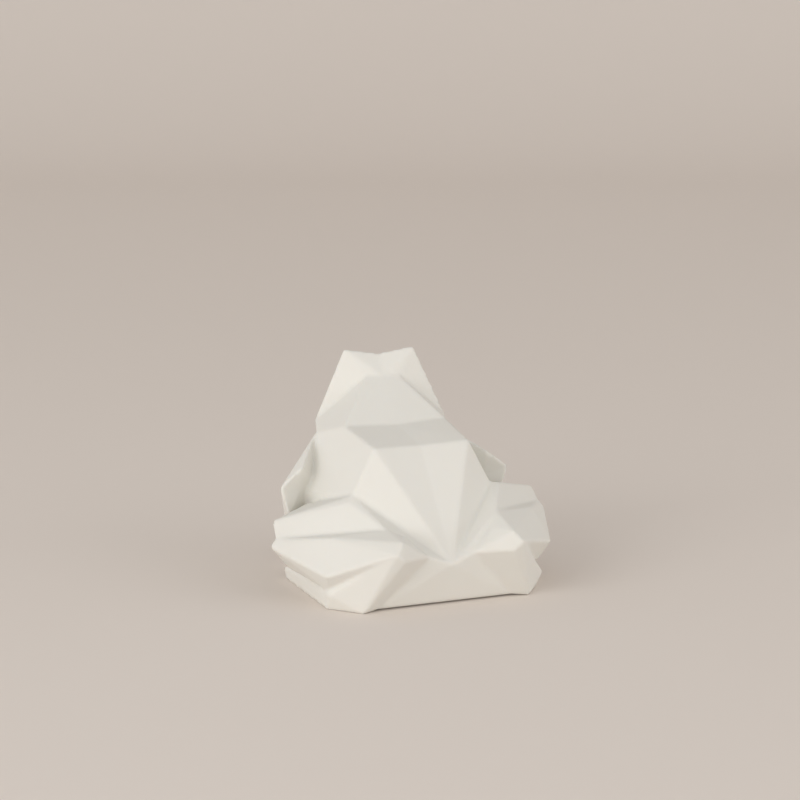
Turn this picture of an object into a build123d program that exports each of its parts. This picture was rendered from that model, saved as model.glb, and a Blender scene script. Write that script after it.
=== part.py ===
from build123d import *
import math
import os
from itertools import combinations

# Faceted frog figurine, cast in one piece of matte white porcelain.
# Frame: millimetres, +Z up, the frog looks along -Y, its left side is +X.
# The origin is on the table, on the body's middle plane, between the hind feet.

# ---- driving dimensions, mm and degrees --------------------------------------
eye_height = 101.8         # table to the eye corners
eye_half_gap = 16.5        # middle plane to each eye corner
jaw_height = 69.0          # table to the jaw corners
jaw_half_width = 31.0      # middle plane to each jaw corner
snout_reach = 72.0         # origin forward to the snout
head_turn = 9.0            # the head looks this far to the frog's right
back_height = 72.0         # front edge of the back plate
back_drop = 5.0            # the plate falls this much towards the rump
back_half_width = 25.0     # middle plane to the plate's corners
back_front = 11.0          # origin forward to the plate's front edge
back_rear = 17.0           # origin back to the plate's rear edge
fold_depth = 0.9           # the middle valley lies this far under the plate
flank_height = 47.0        # corner where the rump, flank and thigh meet
tail_reach = 49.5          # origin back to the tail tip
tail_height = 19.5         # table to the tail tip
tail_clearance = 0.9       # the rear edge under the tail is this far off the table
elbow_half_width = 57.0    # middle plane to the elbows
elbow_height = 47.0        # table to the elbows
knee_half_width = 65.0     # middle plane to the knees
knee_height = 34.5         # table to the top of the left knee
right_knee_lift = 5.0      # the right knee is held this much higher
heel_reach = 57.5          # origin back to the heels
heel_height = 33.3         # table to the top of the heels
foot_half_width = 52.5     # middle plane to the outer edge of the hind feet
foot_front = 29.0          # origin forward to the toes of the hind feet
foot_thickness = 7.5       # hind foot at its outer corner
hand_reach = 62.0          # origin forward to the tips of the front feet
hand_half_gap = 26.0       # middle plane to the middle toe of a front foot

# ---- helpers ------------------------------------------------------------------
same_plane = 1e-4          # mm, corners this near a plane share its facet
neck_pivot_y = -12.0       # the head turns about a vertical line here


def facet_block(corners):
    """The convex solid over a list of corners, built facet by facet."""
    points = [Vector(*corner) for corner in corners]
    facets = {}
    for a, b, c in combinations(range(len(points)), 3):
        normal = (points[b] - points[a]).cross(points[c] - points[a])
        if normal.length < same_plane:
            continue
        normal = normal.normalized()
        heights = [(point - points[a]).dot(normal) for point in points]
        if max(heights) > same_plane and min(heights) < -same_plane:
            continue
        if max(heights) > same_plane:
            normal = normal * -1.0
        on_facet = frozenset(i for i, h in enumerate(heights) if abs(h) <= same_plane)
        facets[on_facet] = normal
    faces = [facet_face([points[i] for i in ids], normal) for ids, normal in facets.items()]
    return Solid(Shell(faces))


def facet_face(points, normal):
    """One flat facet, its corners put in order around its own middle."""
    middle = sum(points, Vector(0, 0, 0)) * (1.0 / len(points))
    across = (points[0] - middle).normalized()
    along = normal.cross(across)

    def angle(point):
        arm = point - middle
        return math.atan2(arm.dot(along), arm.dot(across))

    ring = sorted(points, key=angle)
    return Face(Wire.make_polygon(ring, close=True))


def on_side(corner, side):
    """The same corner on the frog's left, side 1, or on its right, side -1."""
    x, y, z = corner
    return (side * x, y, z)


def turned(corner):
    """A corner of the head, after the head's turn about the neck."""
    x, y, z = corner
    turn = math.radians(-head_turn)
    arm = y - neck_pivot_y
    new_x = x * math.cos(turn) - arm * math.sin(turn)
    new_y = x * math.sin(turn) + arm * math.cos(turn) + neck_pivot_y
    return (new_x, new_y, z)


# ---- corners that neighbouring sub-parts share ----------------------------------
back_rear_height = back_height - back_drop
shoulder = (back_half_width, -back_front, back_height)
rump_corner = (back_half_width - 1.8, back_rear, back_rear_height)
back_middle = (0.0, 2.0 - back_front, back_height - fold_depth)
rump_middle = (0.0, back_rear - 2.0, back_rear_height - fold_depth)
neck_corner = (back_half_width + 6.0, -back_front - 19.0, back_height - 5.7)
flank = (back_half_width + 8.8, back_rear + 0.5, flank_height)
waist = (elbow_half_width - 14.9, -23.5, elbow_height - 5.9)
tail_tip = (0.0, tail_reach, tail_height)
heel_inner = (10.9, heel_reach - 8.9, heel_height - 9.8)
base_rear = (foot_half_width - 20.0, tail_reach - 7.4, tail_clearance)


# ---- sub-parts ------------------------------------------------------------------
def trunk_half():
    """Back plate, rump fan and flank of the left side, down to the belly."""
    visible = [back_middle, shoulder, rump_corner, rump_middle, tail_tip, flank]
    visible += [neck_corner, waist]
    chest = [(0.0, -52.0, 40.0), (22.0, -47.0, 34.0), (0.0, -40.0, 66.0)]
    belly = [(0.0, -40.0, 6.0), (24.0, -32.0, 6.0), (36.0, -8.0, 10.0)]
    rear = [(22.0, tail_reach - 13.0, 12.0), (0.0, tail_reach - 8.0, 8.0)]
    return facet_block(visible + chest + belly + rear)


def head_half(side):
    """One side of the head, side 1 for left: the neck wedge with the eye wedge on it."""
    eye = (side * eye_half_gap, -38.6, eye_height)
    eye_rear = (side * 7.5, -32.6, eye_height - 12.0)
    jaw = (side * jaw_half_width, -36.2, jaw_height + 0.8)
    eye_front = (side * (eye_half_gap - 2.0), -50.0, eye_height - 8.0)
    notch = (0.0, -39.0, eye_height - 2.8)
    nape = (0.0, -31.2, eye_height - 12.1)
    brow = (0.0, -50.0, eye_height - 10.0)
    nose = (side * 8.0, -snout_reach + 3.0, jaw_height + 6.0)
    nose_tip = (0.0, -snout_reach, jaw_height + 3.0)
    lip = (side * 22.0, -56.0, jaw_height)
    crown = [turned(p) for p in (eye, eye_rear, jaw, eye_front, notch, nape, brow, nose, nose_tip, lip)]
    wedge = [turned(p) for p in (eye_rear, jaw, nape, lip, nose_tip)]
    wedge += [back_middle, on_side(shoulder, side), on_side(neck_corner, side), (0.0, -44.0, 60.0)]
    return facet_block(crown) + facet_block(wedge)


def lower_jaw():
    """The chin wedge under the mouth line, set back a little from the lips."""
    chin = [(0.0, -snout_reach + 6.0, jaw_height - 1.0), (0.0, -snout_reach + 12.0, jaw_height - 9.0)]
    for side in (-1, 1):
        chin.append((side * 19.0, -53.0, jaw_height - 1.0))
        chin.append((side * 17.0, -50.0, jaw_height - 10.0))
        chin.append((side * 26.0, -36.0, jaw_height - 2.0))
        chin.append((side * 22.0, -34.0, jaw_height - 14.0))
    return facet_block([turned(p) for p in chin])


def tail_seat(side):
    """One side of the wedge under the tail tip, down to the table."""
    inside = [(0.0, -30.0, 0.0), (0.0, base_rear[1] - 12.0, 0.0), on_side((30.0, 28.0, 0.0), side),
               (0.0, 0.0, 10.0), on_side((24.0, -26.0, 0.0), side)]
    rear = [tail_tip, (0.0, base_rear[1], tail_clearance), on_side(heel_inner, side), on_side(base_rear, side)]
    return facet_block(rear + inside)


def arm():
    """Left front leg: upper arm from the neck to the elbow, then the forearm."""
    elbow = (elbow_half_width, -9.5, elbow_height)
    armpit = (30.0, -46.0, 52.0)
    wrist = (38.0, -45.0, 8.0)
    upper_ridge = (elbow_half_width - 11.5, -10.5, elbow_height + 8.4)
    crook = (elbow_half_width - 11.0, -14.0, elbow_height - 3.6)
    upper = facet_block([neck_corner, upper_ridge, elbow, crook, waist, armpit, (44.0, -30.0, 34.0),
                         (26.0, -30.0, 36.0)])
    fore_rear = (elbow[0] - 4.5, -10.0, elbow_height - 14.0)
    fore = facet_block([elbow, crook, waist, fore_rear, (44.0, -34.0, 36.0), wrist, (27.0, -50.0, 9.0),
                        (27.0, -38.0, 6.0), (30.0, -28.0, 34.0)])
    return upper + fore


def hand():
    """Left front foot: a wedge palm with three pointed toes, flat on the table."""
    palm = [(38.0, -43.0, 0.0), (22.0, -38.0, 0.0), (38.0, -45.0, 8.5), (26.0, -52.0, 9.5),
            (23.0, -42.0, 8.0), (36.0, -51.0, 0.0), (20.0, -52.0, 0.0)]
    block = facet_block(palm)
    for spread in (-1, 0, 1):
        tip_x = hand_half_gap + 7.5 * spread
        tip_y = -hand_reach + 3.0 * abs(spread)
        root_x = 28.5 + 5.0 * spread
        toe = [(root_x - 3.6, -46.0, 0.0), (root_x + 3.6, -46.0, 0.0), (root_x, -48.0, 9.0),
               (tip_x - 2.2, tip_y, 0.0), (tip_x + 2.2, tip_y, 0.0), (tip_x, tip_y + 2.5, 4.0)]
        block = block + facet_block(toe)
    return block


def thigh(lift):
    """Folded upper hind leg of the left side, its knee raised by lift."""
    knee = (knee_half_width - 0.5, -1.0, knee_height + 0.9 * lift)
    knee_low = (knee_half_width + 0.5, 4.0, knee_height - 7.0 + 1.1 * lift)
    ridge = (flank[0] + 3.0, flank[1] + 2.6, flank[2] - 2.4 + 0.5 * lift)
    ridge_rear = (26.6, 38.4, heel_height + 1.8 + 0.7 * lift)
    inner = [(42.0, -14.0, 38.0), (34.0, -12.0, 18.0), (14.0, 30.0, 14.0)]
    return facet_block([flank, ridge, knee, knee_low, ridge_rear, tail_tip, heel_inner] + inner)


def shin(lift):
    """Lower hind leg, folded back under the thigh to the heel."""
    knee_top = (knee_half_width + 0.5, 4.0, knee_height - 7.0 + 1.1 * lift)
    knee_rear = (knee_half_width + 3.0, 4.5, knee_height - 10.3 + 1.1 * lift)
    knee_low = (knee_half_width + 0.2, 9.0, knee_height - 13.0 + 1.1 * lift)
    corner = (54.9, 36.8, 16.2 + 1.1 * lift)
    top = (50.0, 27.0, 31.4 + 0.9 * lift)
    heel_top = (21.4, 46.3, heel_height)
    heel_outer = (26.6, heel_reach - 2.2, heel_height - 0.2)
    heel_low = (26.2, heel_reach, heel_height - 8.5)
    heel_fold = (30.5, heel_reach + 0.8, heel_height - 4.8)
    fold = (26.6, 38.4, heel_height + 1.8 + 0.7 * lift)
    under = [(51.0, 31.5, 8.4 + 0.8 * lift), (58.0, 2.0, 13.0 + lift), (30.0, 4.0, 12.0)]
    return facet_block([knee_top, knee_rear, knee_low, corner, top, heel_top, heel_outer, heel_low,
                        heel_fold, fold, heel_inner] + under)


def hind_foot():
    """Long left hind foot, flat on the table from the heel forward to the toes."""
    toe_out = (foot_half_width - 6.0, -foot_front, 0.0)
    toe_top = (foot_half_width - 5.0, -foot_front, foot_thickness - 1.9)
    corner = (foot_half_width, 33.7, foot_thickness)
    corner_low = (foot_half_width - 1.0, 29.2, 0.0)
    rear_low = (base_rear[0] + 7.6, base_rear[1] + 2.0, 0.0)
    heel_low = (26.2, heel_reach, heel_height - 8.5)
    heel_fold = (30.5, heel_reach + 0.8, heel_height - 4.8)
    inner = [(38.0, -foot_front - 6.0, 0.0), (38.0, -foot_front - 5.0, 5.0), (20.0, -10.0, 0.0),
             (22.0, 0.0, 14.0), (46.0, 4.0, 13.0)]
    return facet_block([toe_out, toe_top, corner, corner_low, rear_low, base_rear, heel_low,
                        heel_fold, heel_inner] + inner)


def hind_leg(lift):
    """The whole folded hind leg of the left side."""
    return thigh(lift) + shin(lift) + hind_foot()


# ---- the figurine ----------------------------------------------------------------
def frog_figurine():
    """All sub-parts fused into the one cast body, with a flat underside."""
    half = trunk_half() + arm() + hand()
    body = half + half.mirror(Plane.YZ)
    body = body + head_half(1) + head_half(-1) + lower_jaw() + tail_seat(1) + tail_seat(-1)
    body = body + hind_leg(0.0) + hind_leg(right_knee_lift).mirror(Plane.YZ)
    return body


os.makedirs("parts", exist_ok=True)
frog = frog_figurine()
print("solids", len(frog.solids()), "volume mm3", round(frog.volume), "size", frog.bounding_box().size)
export_step(frog.solid() if len(frog.solids()) == 1 else frog, "parts/frog_figurine.step")
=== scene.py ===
# %% [markdown]
# # A faceted porcelain frog
# The figurine is cast in one piece: flat, folded-looking facets that meet in soft edges,
# left matte and unglazed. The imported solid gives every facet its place. Here the same
# form gets the soft edges of a slip casting, a porcelain finish and a small studio.

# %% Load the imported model
import math
import bpy
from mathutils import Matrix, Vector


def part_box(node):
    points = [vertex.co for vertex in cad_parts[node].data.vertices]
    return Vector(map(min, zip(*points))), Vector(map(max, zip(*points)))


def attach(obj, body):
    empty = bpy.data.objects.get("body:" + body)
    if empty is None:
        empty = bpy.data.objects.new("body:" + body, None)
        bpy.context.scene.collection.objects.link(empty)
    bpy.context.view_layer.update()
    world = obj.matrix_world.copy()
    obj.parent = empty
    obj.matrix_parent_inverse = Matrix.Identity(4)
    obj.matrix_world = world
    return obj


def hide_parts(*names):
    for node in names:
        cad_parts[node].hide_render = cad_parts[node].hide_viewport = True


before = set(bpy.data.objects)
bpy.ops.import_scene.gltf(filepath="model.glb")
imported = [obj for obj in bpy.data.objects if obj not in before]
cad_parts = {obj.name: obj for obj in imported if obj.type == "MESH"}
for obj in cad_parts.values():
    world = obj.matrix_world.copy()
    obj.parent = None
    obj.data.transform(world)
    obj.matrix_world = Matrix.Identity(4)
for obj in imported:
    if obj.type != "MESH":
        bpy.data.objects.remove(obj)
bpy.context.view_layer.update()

# %% [markdown]
# ## The cast body
# On a real casting no fold is knife sharp: the plaster mould is rounded, and the maker
# sponges the edges before firing. A bevel on every edge could make that, but it breaks
# down where many facets meet at one point, as at the tail. So the solid is rebuilt as an
# even fine grid of faces, and a few rounds of smoothing then round the ridges and fill
# the bottoms of the folds, while the flats stay flat.

# %% Soft-edged copy of the solid
NODE = "frog_figurine"
GRID = 0.00087             # metres, edge of one face of the even grid
SOFTENING = 4              # rounds of smoothing, each rounds the edges a little more
SOFTENING_PULL = 0.5       # how far a round moves each point to its neighbours' middle


def apply_modifiers(piece):
    """Turn what a piece's modifiers make into its own mesh."""
    graph = bpy.context.evaluated_depsgraph_get()
    baked = bpy.data.meshes.new_from_object(piece.evaluated_get(graph))
    piece.modifiers.clear()
    old = piece.data
    piece.data = baked
    bpy.data.meshes.remove(old)


def soft_cast(node, name):
    """A copy of a solid with rounded ridges and softly filled folds."""
    piece = bpy.data.objects.new(name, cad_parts[node].data.copy())
    bpy.context.scene.collection.objects.link(piece)
    grid = piece.modifiers.new("even_grid", "REMESH")
    grid.mode = "VOXEL"
    grid.voxel_size = GRID
    soften = piece.modifiers.new("soften", "SMOOTH")
    soften.factor = SOFTENING_PULL
    soften.iterations = SOFTENING
    apply_modifiers(piece)
    for face in piece.data.polygons:
        face.use_smooth = True
    return piece


frog = soft_cast(NODE, "porcelain_frog")
print("faces on the cast body", len(frog.data.polygons))

# %% [markdown]
# ## Mixing two colours
# The porcelain, the paper and the room each blend two colours. Blender's Mix node keeps
# its number and colour sockets side by side, so one helper sets the colour ones by their
# place and gives back the node.

# %% Two-colour blend
COLOUR_A = 6               # places of the colour sockets on a Mix node
COLOUR_B = 7
COLOUR_RESULT = 2


def colour_blend(nodes, first, second):
    """A Mix node from the first colour, at factor 0, to the second, at factor 1."""
    blend = nodes.new("ShaderNodeMix")
    blend.data_type = "RGBA"
    blend.inputs[COLOUR_A].default_value = first
    blend.inputs[COLOUR_B].default_value = second
    return blend


print("blend sockets", COLOUR_A, COLOUR_B)

# %% [markdown]
# ## Matte porcelain
# Unglazed porcelain is a warm off-white with no mirror shine. Light goes a very short way
# into it, which softens the shade in the folds, and its skin has a fine, dry grain. One
# Principled shader does this: a faint cloudy change of tone, a little subsurface light and
# a bump from fine noise, all of it laid out in the object's own space.

# %% Porcelain material
PORCELAIN = (0.80, 0.785, 0.735, 1.0)
PORCELAIN_DEEP = (0.765, 0.745, 0.69, 1.0)
CLOUD_SCALE = 28.0         # clouds of tone a few centimetres across
GRAIN_SCALE = 2200.0       # dry grain of under half a millimetre
GRAIN_HEIGHT = 0.00012     # metres
GRAIN_STRENGTH = 0.12
GLOW_DEPTH = 0.0015        # metres that light travels inside the body
GLOW_COLOURS = (1.0, 0.8, 0.6)


def porcelain_material():
    """Matte unglazed porcelain with a fine grain."""
    material = bpy.data.materials.new("matte_porcelain")
    material.use_nodes = True
    nodes = material.node_tree.nodes
    link = material.node_tree.links.new
    shader = nodes["Principled BSDF"]
    shader.inputs["Roughness"].default_value = 0.62
    shader.inputs["Subsurface Weight"].default_value = 0.12
    shader.inputs["Subsurface Radius"].default_value = GLOW_COLOURS
    shader.inputs["Subsurface Scale"].default_value = GLOW_DEPTH
    shader.inputs["Specular IOR Level"].default_value = 0.35
    place = nodes.new("ShaderNodeTexCoord")
    cloud = nodes.new("ShaderNodeTexNoise")
    cloud.inputs["Scale"].default_value = CLOUD_SCALE
    cloud.inputs["Detail"].default_value = 4.0
    tone = colour_blend(nodes, PORCELAIN, PORCELAIN_DEEP)
    link(place.outputs["Object"], cloud.inputs["Vector"])
    link(cloud.outputs["Fac"], tone.inputs["Factor"])
    link(tone.outputs[COLOUR_RESULT], shader.inputs["Base Color"])
    grain = nodes.new("ShaderNodeTexNoise")
    grain.inputs["Scale"].default_value = GRAIN_SCALE
    grain.inputs["Detail"].default_value = 3.0
    bump = nodes.new("ShaderNodeBump")
    bump.inputs["Strength"].default_value = GRAIN_STRENGTH
    bump.inputs["Distance"].default_value = GRAIN_HEIGHT
    link(place.outputs["Object"], grain.inputs["Vector"])
    link(grain.outputs["Fac"], bump.inputs["Height"])
    link(bump.outputs["Normal"], shader.inputs["Normal"])
    return material


frog.data.materials.clear()
frog.data.materials.append(porcelain_material())
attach(frog, "root")
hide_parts(NODE)
print("finish", frog.data.materials[0].name)

# %% [markdown]
# ## Floor and backdrop
# A studio sweep is one sheet of paper that runs flat under the object and curves up behind
# it, so that no line shows where floor meets wall. It is a strip of faces along a profile:
# flat, a quarter round, then straight up.

# %% Paper sweep
SWEEP_HALF_WIDTH = 3.0
SWEEP_NEAR = 2.2           # metres of paper on the camera's side
SWEEP_FAR = 1.6            # metres of paper before the curve starts
SWEEP_RADIUS = 0.8
SWEEP_TOP = 3.0
SWEEP_CURVE_STEPS = 16
SWEEP_COLOUR = (0.80, 0.735, 0.68, 1.0)
SWEEP_MOTTLE = 0.97        # the darker patches of the paper, as a share of its colour
CAMERA_HEADING = math.radians(24.68)   # the camera stands this far to the frog's left


def sweep_profile():
    """Points (distance from the object, height) along the paper."""
    points = [(-SWEEP_NEAR, 0.0), (SWEEP_FAR, 0.0)]
    for step in range(1, SWEEP_CURVE_STEPS + 1):
        turn = 0.5 * math.pi * step / SWEEP_CURVE_STEPS
        away = SWEEP_FAR + SWEEP_RADIUS * math.sin(turn)
        points.append((away, SWEEP_RADIUS * (1 - math.cos(turn))))
    points.append((SWEEP_FAR + SWEEP_RADIUS, SWEEP_TOP))
    return points


def paper_sweep():
    """The sweep, square to the camera's heading."""
    corners = []
    for away, height in sweep_profile():
        for side in (-SWEEP_HALF_WIDTH, SWEEP_HALF_WIDTH):
            corners.append((side, -away, height))
    faces = [(i, i + 1, i + 3, i + 2) for i in range(0, len(corners) - 2, 2)]
    mesh = bpy.data.meshes.new("paper_sweep")
    mesh.from_pydata(corners, [], faces)
    sweep = bpy.data.objects.new("paper_sweep", mesh)
    sweep.rotation_euler = (0.0, 0.0, -CAMERA_HEADING)
    for face in mesh.polygons:
        face.use_smooth = True
    bpy.context.scene.collection.objects.link(sweep)
    return sweep


def paper_material():
    """Plain warm grey-beige paper with a faint mottle."""
    material = bpy.data.materials.new("beige_paper")
    material.use_nodes = True
    nodes = material.node_tree.nodes
    link = material.node_tree.links.new
    shader = nodes["Principled BSDF"]
    shader.inputs["Roughness"].default_value = 0.9
    shader.inputs["Specular IOR Level"].default_value = 0.1
    mottle = nodes.new("ShaderNodeTexNoise")
    mottle.inputs["Scale"].default_value = 3.0
    patches = tuple(SWEEP_MOTTLE * part for part in SWEEP_COLOUR[:3]) + (1.0,)
    tone = colour_blend(nodes, SWEEP_COLOUR, patches)
    link(mottle.outputs["Fac"], tone.inputs["Factor"])
    link(tone.outputs[COLOUR_RESULT], shader.inputs["Base Color"])
    return material


sweep = paper_sweep()
sweep.data.materials.append(paper_material())
print("sweep faces", len(sweep.data.polygons))

# %% [markdown]
# ## Light
# The main light is a wide soft box to the left of the camera and low, so that facets turned
# to the left are the brightest and the ones that look up are the darkest. A weaker box on
# the right lifts the facets that turn away from it, and the room around fills the rest:
# pale near the horizon and dimmer overhead.

# %% Soft box and room light
KEY_POWER = 15.5           # watts
KEY_SIZE = 1.3             # metres
KEY_PLACE = (1.75, 0.85, 0.62)
FILL_POWER = 8.0           # watts
FILL_SIZE = 1.6
FILL_PLACE = (-0.9, 1.5, 0.35)
ROOM_SIDE = (0.98, 0.96, 0.94, 1.0)
ROOM_TOP = (0.42, 0.41, 0.40, 1.0)


def soft_box(name, place, power, size):
    """A square area light that shines at the figurine's middle."""
    data = bpy.data.lights.new(name, "AREA")
    data.energy = power
    data.size = size
    lamp = bpy.data.objects.new(name, data)
    lamp.location = place
    bpy.context.scene.collection.objects.link(lamp)
    low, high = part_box(NODE)
    away = lamp.location - (low + high) / 2
    lamp.rotation_euler = away.to_track_quat("Z", "Y").to_euler()
    return lamp


def room_light():
    """A world that is pale at the horizon and dimmer overhead."""
    world = bpy.data.worlds.new("room")
    world.use_nodes = True
    nodes = world.node_tree.nodes
    link = world.node_tree.links.new
    place = nodes.new("ShaderNodeTexCoord")
    parts = nodes.new("ShaderNodeSeparateXYZ")
    ramp = colour_blend(nodes, ROOM_SIDE, ROOM_TOP)
    link(place.outputs["Generated"], parts.inputs["Vector"])
    link(parts.outputs["Z"], ramp.inputs["Factor"])
    link(ramp.outputs[COLOUR_RESULT], nodes["Background"].inputs["Color"])
    bpy.context.scene.world = world
    return world


key = soft_box("key_soft_box", KEY_PLACE, KEY_POWER, KEY_SIZE)
fill = soft_box("fill_soft_box", FILL_PLACE, FILL_POWER, FILL_SIZE)
room = room_light()
print("key at", [round(part, 2) for part in key.location])
print("fill at", [round(part, 2) for part in fill.location], "world", room.name)

# %% [markdown]
# ## Camera
# The frog is seen from behind, a little from its left and from slightly above, through a
# long lens, which keeps the facets' proportions true.

# %% Camera behind the frog's left side
CAMERA_PLACE = (0.5533, 1.1982, 0.3334)
CAMERA_TILT = math.radians(10.7)       # it looks down this much
LENS = 135.0                           # mm, on a sensor 36 mm wide

camera_data = bpy.data.cameras.new("camera")
camera_data.lens = LENS
camera_data.sensor_width = 36.0
camera = bpy.data.objects.new("camera", camera_data)
camera.location = CAMERA_PLACE
camera.rotation_euler = (math.pi / 2 - CAMERA_TILT, 0.0, math.pi - CAMERA_HEADING)
bpy.context.scene.collection.objects.link(camera)
bpy.context.scene.camera = camera
bpy.context.scene.view_settings.view_transform = "Standard"
print("camera at", CAMERA_PLACE)
